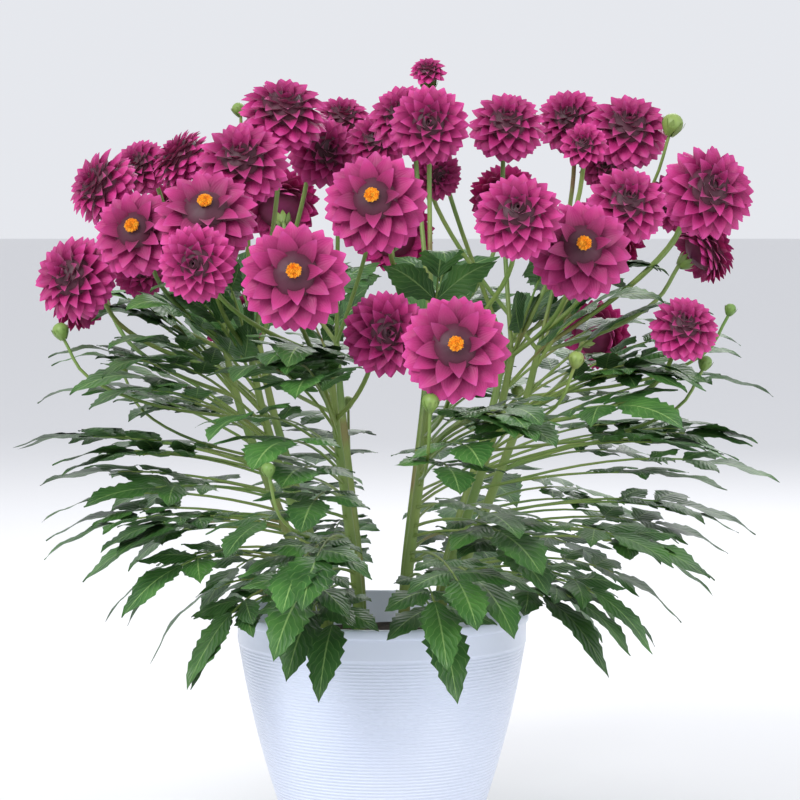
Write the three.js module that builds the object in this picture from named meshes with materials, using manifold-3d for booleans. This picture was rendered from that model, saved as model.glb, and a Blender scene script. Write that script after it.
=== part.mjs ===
// A potted dahlia: a ribbed round pot filled with soil, ten leafy shoots that stand in holes in the
// soil, and a double bloom on the end of every flower stalk. Millimetres, +Z up, origin at the middle
// of the pot's foot, the front of the plant towards -Y.
import * as THREE from "three";
import { mergeVertices } from "three/addons/utils/BufferGeometryUtils.js";
import Module from "manifold-3d";

const wasm = await Module();
wasm.setup();

// Driving dimensions
const POT_HEIGHT = 225;
const POT_WAIST_Z = 184; // the ribbed wall is widest here
const POT_WAIST_RADIUS = 125.5;
const POT_TAPER = 0.17;
const POT_CURVE = 0.00062;
const POT_WALL = 3.2;
const POT_FLOOR = 4;
const POT_SIDES = 24;
const RIB_COUNT = 11;
const RIB_HEIGHT = 1.1;
const BAND_FOOT_Z = 197; // the smooth band below the lip starts here
const LIP_HEIGHT = 9;
const LIP_REACH = 2.5;
const GAP = 0.35; // between pieces that touch

const SOIL_Z = 196;
const SOIL_MOUND = 6;
const SOIL_SIDES = 20;

const SHOOTS = 10;
const SECTOR = (2 * Math.PI) / SHOOTS;
const FIRST_SECTOR = -Math.PI / 2;
const STEM_SIDES = 5;
// A stem's way out from the pot's axis: radius, height, thickness.
const STEM_PATH = [
  [62, 150, 5.2],
  [62, 207, 5.2],
  [70, 255, 4.8],
  [98, 330, 4.2],
  [124, 400, 3.6],
  [140, 462, 2.8],
];
const STALK_RADIUS = 2.2;
const STALK_ROOM = 3.5; // between a stalk's middle and the wall of its shoot's sector
const CALYX_RADIUS = 6.5;
const CALYX_LENGTH = 9;

// The eye that sees the plant from the front. Blooms and buds are placed by where it sees them.
const EYE = new THREE.Vector3(15, -2600, 590);

// Blooms: across and up on the plane through the pot's axis as seen from the eye, depth behind that
// plane, radius, turn to the right and rise of the face in degrees, and kind.
const BLOOMS = [
  [41, 700, 15, 18, 0, 55, "young"],
  [42, 654, -125, 37, 0, 8, "full"],
  [18, 661, -40, 34, -25, 35, "full"],
  [110, 653, -60, 37, 5, 42, "full"],
  [-86, 664, -60, 43, 12, 58, "full"],
  [-35, 658, 45, 30, 10, 55, "full"],
  [-51, 630, 10, 36, 25, 15, "full"],
  [-123, 620, -110, 44, -5, 42, "full"],
  [-176, 624, -25, 33, -70, 45, "full"],
  [-212, 617, 50, 30, -30, 30, "full"],
  [-246, 600, -30, 38, -55, 25, "full"],
  [-216, 559, -125, 42, -10, 22, "open"],
  [-155, 574, -175, 48, 0, 40, "open"],
  [-163, 532, -245, 35, -8, 2, "full"],
  [-271, 519, -110, 41, -32, 18, "full"],
  [-77, 521, -265, 49, 0, 14, "open"],
  [-6, 586, -220, 47, -8, 18, "open"],
  [4, 470, -215, 39, 12, 5, "full"],
  [65, 457, -290, 48, 0, 14, "open"],
  [120, 574, -240, 40, -2, 26, "full"],
  [175, 544, -205, 47, 6, 18, "open"],
  [216, 584, -140, 38, 8, 32, "full"],
  [216, 649, -15, 41, 6, 45, "full"],
  [165, 658, 30, 34, -15, 35, "full"],
  [178, 636, -95, 22, -5, 25, "young"],
  [287, 595, -70, 46, 22, 20, "full"],
  [267, 475, -170, 32, 10, 38, "full"],
  [48, 610, -15, 26, 20, -15, "full"],
  [-212, 527, -50, 28, 20, -5, "full"],
  [-5, 639, -5, 30, -10, 30, "full"],
  [198, 619, 30, 28, -10, 0, "full"],
  [257, 586, 15, 30, -30, 5, "full"],
  [-185, 575, 170, 40, -150, 35, "full"],
  [-90, 585, 225, 42, -170, 35, "full"],
  [10, 560, 265, 44, 178, 25, "full"],
  [110, 590, 215, 40, 165, 40, "full"],
  [200, 560, 175, 42, 145, 30, "full"],
  [285, 545, 75, 36, 110, 30, "full"],
  [-265, 505, 85, 38, -115, 25, "full"],
  [55, 470, 300, 36, 175, 10, "full"],
  [-130, 480, 275, 36, -160, 12, "full"],
  [190, 470, 255, 38, 150, 12, "full"],
];
const BLOOM_DEPTH = 0.74; // half depth of a bloom over its radius
const BLOOM_SWELL = 0.6; // clear space round a bloom's petals
const BLOOM_ROOM = 0.93; // share of two radii that keeps two blooms apart
const PETALS_ROUND = { full: 8, open: 8, young: 6 };
// Petal layers from the back of a bloom to its face: angle from the face's axis, in degrees.
const PETAL_LAYERS = {
  full: [136, 106, 76, 46, 20],
  open: [134, 102, 72, 42],
  young: [118, 82, 44],
};
const PETAL_REACH = 0.6; // how far a petal's tip leans back over the layer behind, in layers
const PETAL_SINK = 0.74; // how deep the clefts between petals go
const EYE_DISC_RADIUS = 6.5;
const EYE_DISC_HEIGHT = 5;

// Buds: across, up, depth and radius.
const BUDS = [
  [-126, 668, 5, 6],
  [256, 655, -45, 9.5],
  [-284, 473, -130, 7],
  [172, 448, -235, 6.5],
  [43, 410, -300, 7],
  [-101, 350, -310, 5.5],
  [286, 445, -140, 6],
  [308, 492, -90, 5],
  [-230, 440, 190, 6.5],
  [120, 420, 300, 6.5],
  [-30, 410, 315, 6],
];

// Leaves: how many on each shoot, the reach of their tips at each height, and their make
const LEAVES_PER_SHOOT = 5;
const CROWN_SHIFT = 13; // the foliage leans this far to the right of the pot
const TIP_HEIGHTS = [176, 560];
const REACH = [
  [150, 205],
  [200, 245],
  [260, 310],
  [330, 332],
  [390, 338],
  [465, 305],
  [520, 250],
  [575, 160],
];
const LEAFLET_LENGTH = [72, 92];
const LEAFLET_HALF_WIDTH = 0.27; // over its length
const RIB_HALF_WIDTH = 1.3;
const RIB_HALF_THICKNESS = 0.9;
const SIDE_LEAFLET = 0.74; // a side leaflet's length over the end leaflet's
const SIDE_ANGLE = (52 * Math.PI) / 180;
const LEAF_FOLD = 0.2;
const LEAF_CLEARANCE = 3.5;
const SEED = 20;

// Half an end leaflet's toothed outline: share of its length, share of its half width.
const END_OUTLINE = [
  [0.1, 0.55],
  [0.3, 1.0],
  [0.37, 0.8],
  [0.56, 0.86],
  [0.62, 0.62],
  [0.8, 0.46],
  [0.84, 0.28],
];
// A side leaflet's toothed outline round from its lower edge to its upper edge: share of its length
// along its rib, and across it.
const SIDE_OUTLINE = [
  [0.42, 0.31],
  [0.56, 0.17],
  [1.0, 0.0],
  [0.6, -0.18],
  [0.46, -0.3],
];

const vec = (x, y, z) => new THREE.Vector3(x, y, z);
const UP = vec(0, 0, 1);
const radians = (degrees) => (degrees * Math.PI) / 180;
const mix = (a, b, t) => a + (b - a) * t;
const fraction = (x) => x - Math.floor(x);

function seeded(seed) {
  let state = seed >>> 0;
  return () => {
    state = (Math.imul(state, 1664525) + 1013904223) >>> 0;
    return state / 4294967296;
  };
}

// The value at x of a line through points [x, value].
function along(points, x) {
  for (let i = 1; i < points.length; i++) {
    if (x <= points[i][0] || i === points.length - 1) {
      const [x0, y0] = points[i - 1];
      const [x1, y1] = points[i];
      const t = Math.min(1, Math.max(0, (x - x0) / (x1 - x0)));
      return mix(y0, y1, t);
    }
  }
}

// Solids from vertices and triangles
function solid(points, triangles) {
  const positions = new Float32Array(points.flatMap((p) => [p.x, p.y, p.z]));
  const mesh = new wasm.Mesh({
    numProp: 3,
    vertProperties: positions,
    triVerts: new Uint32Array(triangles.flat()),
  });
  return new wasm.Manifold(mesh);
}

function solidOf(geometry) {
  geometry.deleteAttribute("normal");
  geometry.deleteAttribute("uv");
  const merged = mergeVertices(geometry, 1e-4);
  const mesh = new wasm.Mesh({
    numProp: 3,
    vertProperties: merged.attributes.position.array,
    triVerts: new Uint32Array(merged.index.array),
  });
  return new wasm.Manifold(mesh);
}

function geometryOf(manifold) {
  const mesh = manifold.getMesh();
  const geometry = new THREE.BufferGeometry();
  geometry.setAttribute("position", new THREE.BufferAttribute(mesh.vertProperties, 3));
  geometry.setIndex(new THREE.BufferAttribute(mesh.triVerts, 1));
  return geometry;
}

// A tube with few sides along points, with a radius at each.
function tube(points, radii, sides) {
  const whole = points[points.length - 1].clone().sub(points[0]);
  const size = [Math.abs(whole.x), Math.abs(whole.y), Math.abs(whole.z)];
  const least = size.indexOf(Math.min(...size));
  const reference = vec(least === 0 ? 1 : 0, least === 1 ? 1 : 0, least === 2 ? 1 : 0);
  const corners = [];
  points.forEach((p, i) => {
    const before = points[Math.max(0, i - 1)];
    const after = points[Math.min(points.length - 1, i + 1)];
    const tangent = after.clone().sub(before).normalize();
    const side = tangent.clone().cross(reference).normalize();
    const other = tangent.clone().cross(side);
    for (let s = 0; s < sides; s++) {
      const angle = (2 * Math.PI * s) / sides;
      const out = side.clone().multiplyScalar(Math.cos(angle) * radii[i]);
      out.addScaledVector(other, Math.sin(angle) * radii[i]);
      corners.push(p.clone().add(out));
    }
  });
  const triangles = [];
  const last = (points.length - 1) * sides;
  for (let i = 0; i < points.length - 1; i++) {
    for (let s = 0; s < sides; s++) {
      const a = i * sides + s;
      const b = i * sides + ((s + 1) % sides);
      triangles.push([a, b, b + sides], [a, b + sides, a + sides]);
    }
  }
  for (let s = 1; s < sides - 1; s++) {
    triangles.push([0, s + 1, s], [last, last + s, last + s + 1]);
  }
  return solid(corners, triangles);
}

// A closed star-shaped skin of rings from a back pole to a front pole.
function ringedSkin(backPole, rings, frontPole) {
  const round = rings[0].length;
  const points = [backPole, ...rings.flat(), frontPole];
  const front = points.length - 1;
  const triangles = [];
  const at = (ring, j) => 1 + ring * round + (j % round);
  for (let j = 0; j < round; j++) {
    triangles.push([0, at(0, j + 1), at(0, j)]);
    triangles.push([front, at(rings.length - 1, j), at(rings.length - 1, j + 1)]);
  }
  for (let ring = 0; ring < rings.length - 1; ring++) {
    for (let j = 0; j < round; j++) {
      const a = at(ring, j);
      const b = at(ring, j + 1);
      const c = at(ring + 1, j + 1);
      const d = at(ring + 1, j);
      // The short side of each cleft joins two hollows, so each tip stands on its own diamond.
      if ((ring + j) % 2 === 0) triangles.push([a, b, d], [b, c, d]);
      else triangles.push([a, b, c], [a, c, d]);
    }
  }
  return solid(points, triangles);
}

// Pot and soil
const potRadius = (z) =>
  POT_WAIST_RADIUS -
  POT_TAPER * (POT_WAIST_Z - z) -
  POT_CURVE * (POT_WAIST_Z - z) * Math.abs(POT_WAIST_Z - z);

function makePot() {
  const ribPitch = BAND_FOOT_Z / (RIB_COUNT + 0.5);
  const outer = [[0, 0], [potRadius(0) - 2, 0]];
  for (let i = 0; i < RIB_COUNT; i++) {
    const groove = ribPitch * (i + 0.25);
    const crest = ribPitch * (i + 0.75);
    outer.push([potRadius(groove) - RIB_HEIGHT, groove], [potRadius(crest), crest]);
  }
  const lipZ = POT_HEIGHT - LIP_HEIGHT;
  const top = potRadius(BAND_FOOT_Z);
  outer.push([top - RIB_HEIGHT, BAND_FOOT_Z], [top + 0.5, BAND_FOOT_Z + 2], [top + 0.5, lipZ]);
  outer.push([top + LIP_REACH, lipZ + 1], [top + LIP_REACH, POT_HEIGHT - 1]);
  outer.push([top + 1, POT_HEIGHT], [top - POT_WALL, POT_HEIGHT - 1]);
  outer.push([potRadius(POT_FLOOR) - POT_WALL, POT_FLOOR], [0, POT_FLOOR]);
  return new THREE.LatheGeometry(
    outer.map(([x, y]) => new THREE.Vector2(x, y)),
    POT_SIDES,
  ).rotateX(Math.PI / 2);
}

// The inside of the pot is a plain cone, from its floor to its lip.
const insideRadius = (z) =>
  mix(
    potRadius(POT_FLOOR) - POT_WALL,
    potRadius(BAND_FOOT_Z) - POT_WALL,
    (z - POT_FLOOR) / (POT_HEIGHT - 1 - POT_FLOOR),
  );

function makeSoil() {
  const holeRadius = (STEM_PATH[0][2] + GAP) / Math.cos(Math.PI / STEM_SIDES);
  const foot = POT_FLOOR + GAP;
  const wall = (z) => insideRadius(z) * Math.cos(Math.PI / POT_SIDES) - GAP;
  const profile = [
    [0, foot],
    [wall(foot), foot],
    [wall(SOIL_Z), SOIL_Z],
    [wall(SOIL_Z) * 0.8, SOIL_Z + 1],
    [wall(SOIL_Z) * 0.35, SOIL_Z + SOIL_MOUND],
    [0, SOIL_Z + SOIL_MOUND - 1],
  ];
  const geometry = new THREE.LatheGeometry(
    profile.map(([x, y]) => new THREE.Vector2(x, y)),
    SOIL_SIDES,
  ).rotateX(Math.PI / 2);
  let soil = solidOf(geometry);
  for (let k = 0; k < SHOOTS; k++) {
    const points = STEM_PATH.slice(0, 2).map(([r, z]) => stemSpot(k, r, z));
    points[0].z -= GAP;
    soil = soil.subtract(tube(points, [holeRadius, holeRadius], STEM_SIDES));
  }
  return geometryOf(soil);
}

// Layout of blooms, stalks and leaves
const sectorMiddle = (k) => FIRST_SECTOR + (k + 0.5) * SECTOR;

function stemSpot(k, radius, z) {
  const angle = sectorMiddle(k);
  return vec(radius * Math.cos(angle), radius * Math.sin(angle), z);
}

function sectorOf(point) {
  const turns = fraction((Math.atan2(point.y, point.x) - FIRST_SECTOR) / (2 * Math.PI) + 1);
  return Math.min(SHOOTS - 1, Math.floor(turns * SHOOTS));
}

// Moves a point away from its sector's two walls until it is clear of both.
function intoSector(point, shoot, margin) {
  const walls = [
    [FIRST_SECTOR + shoot * SECTOR, 1],
    [FIRST_SECTOR + (shoot + 1) * SECTOR, -1],
  ];
  for (const [angle, sign] of walls) {
    const away = sign * (point.y * Math.cos(angle) - point.x * Math.sin(angle));
    if (away >= margin) continue;
    point.x -= sign * (margin - away) * Math.sin(angle);
    point.y += sign * (margin - away) * Math.cos(angle);
  }
}

function insideSector(made, shoot) {
  const low = FIRST_SECTOR + shoot * SECTOR;
  const high = low + SECTOR;
  return made
    .trimByPlane([-Math.sin(low), Math.cos(low), 0], GAP / 2)
    .trimByPlane([Math.sin(high), -Math.cos(high), 0], GAP / 2);
}

const largestBody = (made) => made.decompose().sort((a, b) => b.volume() - a.volume())[0];

// The point that the eye sees at across and up, at a depth behind the plane of the pot's axis.
function seen(across, up, depth) {
  const share = (depth - EYE.y) / -EYE.y;
  return vec(EYE.x + (across - EYE.x) * share, depth, EYE.z + (up - EYE.z) * share);
}

function facing(turn, rise) {
  const a = radians(turn);
  const e = radians(rise);
  return vec(Math.sin(a) * Math.cos(e), -Math.cos(a) * Math.cos(e), Math.sin(e));
}

// Blooms that would touch slide apart along the line of sight, so each is still seen in its place.
function placeBlooms() {
  const blooms = BLOOMS.map(([across, up, depth, radius, turn, rise, kind]) => ({
    across,
    up,
    depth,
    radius,
    kind,
    axis: facing(turn, rise),
    centre: seen(across, up, depth),
  }));
  for (let round = 0; round < 80; round++) {
    for (let i = 0; i < blooms.length; i++) {
      for (let j = i + 1; j < blooms.length; j++) {
        const [a, b] = [blooms[i], blooms[j]];
        const short = BLOOM_ROOM * (a.radius + b.radius) - a.centre.distanceTo(b.centre);
        if (short <= 0) continue;
        const way = a.depth < b.depth ? -1 : 1;
        a.depth += way * short * 0.5;
        b.depth -= way * short * 0.5;
        a.centre = seen(a.across, a.up, a.depth);
        b.centre = seen(b.across, b.up, b.depth);
      }
    }
  }
  return blooms;
}

// A stalk leaves the back of its bloom, sinks, and turns in to its shoot's stem.
function stalkTo(blooms, own, start, axis, firstLength) {
  const foot = start.clone().addScaledVector(axis, -firstLength);
  const shoot = sectorOf(foot);
  intoSector(foot, shoot, STALK_ROOM);
  const joinZ = Math.min(455, Math.max(250, foot.z - 75));
  const radius = along(STEM_PATH.map(([r, z]) => [z, r]), joinZ);
  const join = stemSpot(shoot, radius, joinZ);
  const pull = foot.clone().addScaledVector(axis, -18);
  pull.z -= 42;
  const points = [];
  for (let i = 1; i <= 3; i++) {
    const t = i / 3;
    const p = foot.clone().multiplyScalar((1 - t) * (1 - t));
    p.addScaledVector(pull, 2 * t * (1 - t)).addScaledVector(join, t * t);
    points.push(p);
  }
  for (let round = 0; round < 12; round++) {
    for (const p of points.slice(0, 2)) {
      for (const bloom of blooms) {
        if (bloom === own) continue;
        const away = p.clone().sub(bloom.centre);
        const short = bloom.radius + 7 - away.length();
        if (short > 0) p.addScaledVector(away.normalize(), short);
      }
      intoSector(p, shoot, STALK_ROOM);
    }
  }
  return { shoot, foot, points };
}

function quadratic(a, b, c, t) {
  const p = a.clone().multiplyScalar((1 - t) * (1 - t));
  return p.addScaledVector(b, 2 * t * (1 - t)).addScaledVector(c, t * t);
}

// A leaf from its stem to a tip at that azimuth and height, as a curve with a side direction.
function leafTowards(shoot, azimuth, tipZ, reachShare, endLength, roll, rise) {
  const reach = along(REACH, tipZ) * reachShare;
  const tip = vec(CROWN_SHIFT + reach * Math.cos(azimuth), reach * Math.sin(azimuth), tipZ);
  const joinZ = mix(240, 445, Math.min(1, Math.max(0, (tipZ - 170) / 370)));
  const join = stemSpot(shoot, along(STEM_PATH.map(([r, z]) => [z, r]), joinZ), joinZ);
  const pull = join.clone().lerp(tip, 0.62);
  pull.z = Math.max(join.z, tip.z) + rise;
  const outward = tip.clone().sub(join).setZ(0).normalize();
  const flatSide = vec(-outward.y, outward.x, 0);
  const side = flatSide.multiplyScalar(Math.cos(roll)).addScaledVector(UP, Math.sin(roll)).normalize();
  let length = 0;
  let last = join;
  for (let i = 1; i <= 8; i++) {
    const p = quadratic(join, pull, tip, i / 8);
    length += p.distanceTo(last);
    last = p;
  }
  return { join, pull, tip, side, length, endLength };
}

// The point of a leaf at a length along its rib, across it, and above it.
function leafPoint(leaf, distance, across, above) {
  const t = Math.min(1.12, distance / leaf.length);
  const p = quadratic(leaf.join, leaf.pull, leaf.tip, t);
  const tangent = leaf.pull.clone().sub(leaf.join).multiplyScalar(1 - t);
  tangent.addScaledVector(leaf.tip.clone().sub(leaf.pull), t).normalize();
  const normal = tangent.clone().cross(leaf.side).normalize();
  const lift = LEAF_FOLD * Math.abs(across) - 0.004 * across * across;
  return p.addScaledVector(leaf.side, across).addScaledVector(normal, above + lift);
}

// A leaf's stations along its rib: the foot, the side leaflets' roots, and the end leaflet's root.
function leafStations(leaf) {
  const end = leaf.length - leaf.endLength;
  return [0, end - 24, end - 14, end];
}

// A side leaflet's outline points as [distance, across] on one side of the leaf.
function sideOutline(leaf, side) {
  const stations = leafStations(leaf);
  const size = leaf.endLength * SIDE_LEAFLET;
  const root = (stations[1] + stations[2]) / 2;
  return SIDE_OUTLINE.map(([out, over]) => [
    root + size * (out * Math.cos(SIDE_ANGLE) - over * Math.sin(SIDE_ANGLE)),
    side * (RIB_HALF_WIDTH + size * (out * Math.sin(SIDE_ANGLE) + over * Math.cos(SIDE_ANGLE))),
  ]);
}

function endOutline(leaf, side) {
  const root = leaf.length - leaf.endLength;
  return END_OUTLINE.map(([out, over]) => [
    root + out * leaf.endLength,
    side * over * leaf.endLength * LEAFLET_HALF_WIDTH,
  ]);
}

// Points all over a leaf, to test that it is clear of its neighbours.
function leafSamples(leaf) {
  const spots = [];
  for (let i = 3; i <= 10; i++) spots.push([(leaf.length * i) / 10, 0]);
  for (const side of [-1, 1]) {
    for (const outline of [sideOutline(leaf, side), endOutline(leaf, side)]) {
      outline.forEach(([d, a]) => spots.push([d, a], [mix(leaf.length - leaf.endLength, d, 0.6), a * 0.6]));
    }
  }
  return spots.map(([d, a]) => leafPoint(leaf, d, a, 0));
}

function leafIsClear(leaf, shoot, blooms, stalks) {
  const low = FIRST_SECTOR + shoot * SECTOR;
  const high = low + SECTOR;
  return leafSamples(leaf).every((p) => {
    if (p.y * Math.cos(low) - p.x * Math.sin(low) < 1.2) return false;
    if (p.x * Math.sin(high) - p.y * Math.cos(high) < 1.2) return false;
    const radius = Math.hypot(p.x, p.y);
    if (p.z < POT_HEIGHT + 4 && radius < POT_WAIST_RADIUS + 9) return false;
    if (blooms.some((bloom) => bloom.centre.distanceTo(p) < bloom.radius + LEAF_CLEARANCE)) return false;
    return stalks.every((stalk) => {
      if (stalk.shoot === shoot) return true;
      return stalk.samples.every((q) => q.distanceTo(p) > CALYX_RADIUS + LEAF_CLEARANCE);
    });
  });
}

// A leaf that is not clear turns towards the middle of its sector, then sinks, then gets smaller.
function placeLeaves(shoot, blooms, stalks) {
  const random = seeded(SEED + 101 * shoot);
  const leaves = [];
  for (let i = 0; i < LEAVES_PER_SHOOT; i++) {
    const share = (i + 0.5) / LEAVES_PER_SHOOT;
    let tipZ = mix(TIP_HEIGHTS[0], TIP_HEIGHTS[1], share) + 30 * (random() - 0.5);
    let offset = 0.62 * (fraction(0.618034 * i + 0.37 * shoot) - 0.5) * SECTOR;
    let endLength = mix(LEAFLET_LENGTH[0], LEAFLET_LENGTH[1], random());
    const reachShare = 0.94 + 0.08 * random();
    const roll = 0.5 * (random() - 0.5);
    const rise = mix(25, 45, random());
    for (let attempt = 0; attempt < 40; attempt++) {
      const azimuth = sectorMiddle(shoot) + offset;
      const leaf = leafTowards(shoot, azimuth, tipZ, reachShare, endLength, roll, rise);
      if (leafIsClear(leaf, shoot, blooms, stalks)) {
        leaves.push(leaf);
        break;
      }
      if (attempt % 2 === 0) offset *= 0.75;
      else tipZ = Math.max(TIP_HEIGHTS[0], tipZ - 9);
      if (attempt % 5 === 4) endLength *= 0.93;
    }
  }
  return leaves;
}

// A leaf as one thin blade: a ribbed petiole, a pair of side leaflets and a toothed end leaflet.
function leafSolid(leaf) {
  const points = [];
  const triangles = [];
  const put = (distance, across, above) => points.push(leafPoint(leaf, distance, across, above)) - 1;
  const face = (a, b, c, flipped) => triangles.push(flipped ? [a, c, b] : [a, b, c]);
  const stations = leafStations(leaf);
  const rib = stations.map((s) => ({
    top: put(s, 0, RIB_HALF_THICKNESS),
    under: put(s, 0, -RIB_HALF_THICKNESS),
    1: put(s, RIB_HALF_WIDTH, 0),
    [-1]: put(s, -RIB_HALF_WIDTH, 0),
  }));
  const end = stations[3];
  const tip = put(leaf.length, 0, 0);
  const ridge = [0.35, 0.7].map((share) => {
    const s = end + share * leaf.endLength;
    return { top: put(s, 0, RIB_HALF_THICKNESS), under: put(s, 0, -RIB_HALF_THICKNESS) };
  });
  for (const side of [1, -1]) {
    const lobe = sideOutline(leaf, side).map(([d, a]) => put(d, a, 0));
    const size = leaf.endLength * SIDE_LEAFLET;
    const middleD = (stations[1] + stations[2]) / 2 + 0.45 * size * Math.cos(SIDE_ANGLE);
    const middleA = side * (RIB_HALF_WIDTH + 0.45 * size * Math.sin(SIDE_ANGLE));
    const blade = endOutline(leaf, side).map(([d, a]) => put(d, a, 0));
    for (const layer of ["top", "under"]) {
      const flipped = (side === 1) !== (layer === "top");
      for (const i of [0, 2]) {
        face(rib[i][layer], rib[i + 1][layer], rib[i + 1][side], flipped);
        face(rib[i][layer], rib[i + 1][side], rib[i][side], flipped);
      }
      const middle = put(middleD, middleA, layer === "top" ? RIB_HALF_THICKNESS : -RIB_HALF_THICKNESS);
      const loop = [rib[1][layer], rib[2][layer], rib[2][side], ...[...lobe].reverse(), rib[1][side]];
      loop.forEach((p, i) => face(middle, p, loop[(i + 1) % loop.length], flipped));
      const spine = [rib[3][layer], ridge[0][layer], ridge[1][layer]];
      const edge = [rib[3][side], ...blade, tip];
      const fans = [[0, 3], [3, 5], [5, 8]];
      fans.forEach(([from, to], k) => {
        for (let i = from; i < to; i++) face(spine[k], edge[i + 1], edge[i], flipped);
        if (k < 2) face(spine[k], spine[k + 1], edge[to], flipped);
      });
    }
  }
  face(rib[0].top, rib[0][1], rib[0].under, false);
  face(rib[0].top, rib[0].under, rib[0][-1], false);
  return solid(points, triangles);
}

// Blooms
function bloomFrame(bloom) {
  const side = UP.clone().cross(bloom.axis).normalize();
  return { side, upward: bloom.axis.clone().cross(side) };
}

// The point of a bloom at an angle from its axis, an angle round it, and a share of its radius.
function bloomPoint(bloom, frame, from, round, share) {
  const flat = bloom.radius * share * Math.sin(from);
  const deep = bloom.radius * share * BLOOM_DEPTH * Math.cos(from);
  const p = bloom.centre.clone().addScaledVector(bloom.axis, deep);
  p.addScaledVector(frame.side, flat * Math.cos(round));
  return p.addScaledVector(frame.upward, flat * Math.sin(round));
}

const BACK_SHARE = 0.8;
const frontShare = (kind) => (kind === "open" ? 0.5 : 0.86);

function makeBloom(bloom) {
  const frame = bloomFrame(bloom);
  const petals = PETALS_ROUND[bloom.kind];
  const layers = PETAL_LAYERS[bloom.kind];
  const spacing = layers[0] - layers[1];
  const rings = layers.map((layer, ring) => {
    const points = [];
    for (let j = 0; j < 2 * petals; j++) {
      const isTip = (ring + j) % 2 === 1;
      const from = radians(layer + (isTip ? PETAL_REACH * spacing : 0));
      const inner = bloom.kind === "open" ? 1 : 1 - 0.08 * (ring / layers.length);
      const share = isTip ? inner : PETAL_SINK * inner;
      points.push(bloomPoint(bloom, frame, from, (Math.PI * j) / petals, share));
    }
    return points;
  });
  const back = bloomPoint(bloom, frame, Math.PI, 0, BACK_SHARE);
  const front = bloomPoint(bloom, frame, 0, 0, frontShare(bloom.kind));
  return pressed(ringedSkin(back, rings, front), bloom);
}

// Where two blooms press together, both are flat along the plane between them.
function pressed(made, bloom) {
  for (const other of blooms) {
    const way = other.centre.clone().sub(bloom.centre);
    const distance = way.length();
    if (other === bloom || distance > bloom.radius + other.radius + 1) continue;
    way.normalize();
    const share = (distance * bloom.radius) / (bloom.radius + other.radius) - GAP / 2;
    const offset = way.dot(bloom.centre) + share;
    made = made.trimByPlane([-way.x, -way.y, -way.z], -offset);
  }
  return largestBody(made);
}

// A bloom a little larger all round, to cut what comes near it.
function swollen(made, bloom) {
  const { x, y, z } = bloom.centre;
  return made
    .translate([-x, -y, -z])
    .scale(1 + BLOOM_SWELL / bloom.radius)
    .translate([x, y, z]);
}

// The yellow florets in the middle of an open bloom, as one domed button.
function makeEyeDisc(bloom) {
  const seat = bloom.radius * BLOOM_DEPTH * frontShare(bloom.kind) + GAP;
  const profile = [
    [0, 0],
    [EYE_DISC_RADIUS, 2.6],
    [EYE_DISC_RADIUS * 0.8, EYE_DISC_HEIGHT],
    [0, EYE_DISC_HEIGHT + 1.5],
  ];
  const geometry = new THREE.LatheGeometry(
    profile.map(([x, y]) => new THREE.Vector2(x, y)),
    7,
  );
  const turn = new THREE.Quaternion().setFromUnitVectors(vec(0, 1, 0), bloom.axis);
  geometry.applyQuaternion(turn);
  const place = bloom.centre.clone().addScaledVector(bloom.axis, seat);
  return geometry.translate(place.x, place.y, place.z);
}

// Shoots
const blooms = placeBlooms();
const bloomSolids = blooms.map(makeBloom);
const bloomRooms = bloomSolids.map((made, i) => swollen(made, blooms[i]));
const stalks = blooms.map((bloom) => {
  const back = bloom.radius * BLOOM_DEPTH * BACK_SHARE + GAP;
  const top = bloom.centre.clone().addScaledVector(bloom.axis, -back);
  const way = stalkTo(blooms, bloom, top, bloom.axis, CALYX_LENGTH);
  const samples = [top, way.foot, way.foot.clone().lerp(way.points[0], 0.5), ...way.points];
  return { ...way, top, samples };
});
const budStalks = BUDS.map(([across, up, depth, radius]) => {
  const top = seen(across, up, depth);
  const outward = vec(top.x, top.y, 0).normalize().multiplyScalar(0.35).add(UP).normalize();
  const way = stalkTo(blooms, null, top, outward, 6);
  const samples = [top, way.foot, way.foot.clone().lerp(way.points[0], 0.5), ...way.points];
  return { ...way, top, samples, radius };
});

function budSolid(bud) {
  const geometry = new THREE.IcosahedronGeometry(bud.radius, 0);
  return solidOf(geometry.translate(bud.top.x, bud.top.y, bud.top.z));
}

function makeShoot(k) {
  const stem = STEM_PATH.map(([r, z]) => stemSpot(k, r, z));
  let shoot = tube(stem, STEM_PATH.map((row) => row[2]), STEM_SIDES);
  for (const stalk of stalks.filter((s) => s.shoot === k)) {
    const points = [stalk.top, stalk.foot, ...stalk.points];
    const radii = [CALYX_RADIUS, STALK_RADIUS, STALK_RADIUS, STALK_RADIUS, STALK_RADIUS];
    shoot = shoot.add(tube(points, radii, 4));
  }
  for (const bud of budStalks.filter((s) => s.shoot === k)) {
    const points = [bud.top, bud.foot, ...bud.points];
    const radii = [2, 1.6, 1.6, 1.6, 1.6];
    shoot = shoot.add(tube(points, radii, 3)).add(budSolid(bud));
  }
  for (const leaf of placeLeaves(k, blooms, [...stalks, ...budStalks])) {
    shoot = shoot.add(leafSolid(leaf));
  }
  for (const room of bloomRooms) shoot = shoot.subtract(room);
  return geometryOf(largestBody(insideSector(shoot, k)));
}

// The plant and its pot
const potMaterial = new THREE.MeshStandardMaterial({ color: 0xe3e9f3, roughness: 0.4, metalness: 0 });
const soilMaterial = new THREE.MeshStandardMaterial({ color: 0x33261c, roughness: 0.95, metalness: 0 });
const greenMaterial = new THREE.MeshStandardMaterial({ color: 0x2f5a27, roughness: 0.55, metalness: 0 });
const petalMaterial = new THREE.MeshStandardMaterial({ color: 0xa5116a, roughness: 0.6, metalness: 0 });
const eyeMaterial = new THREE.MeshStandardMaterial({ color: 0xf0a21a, roughness: 0.7, metalness: 0 });

const plant = new THREE.Group();

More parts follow.
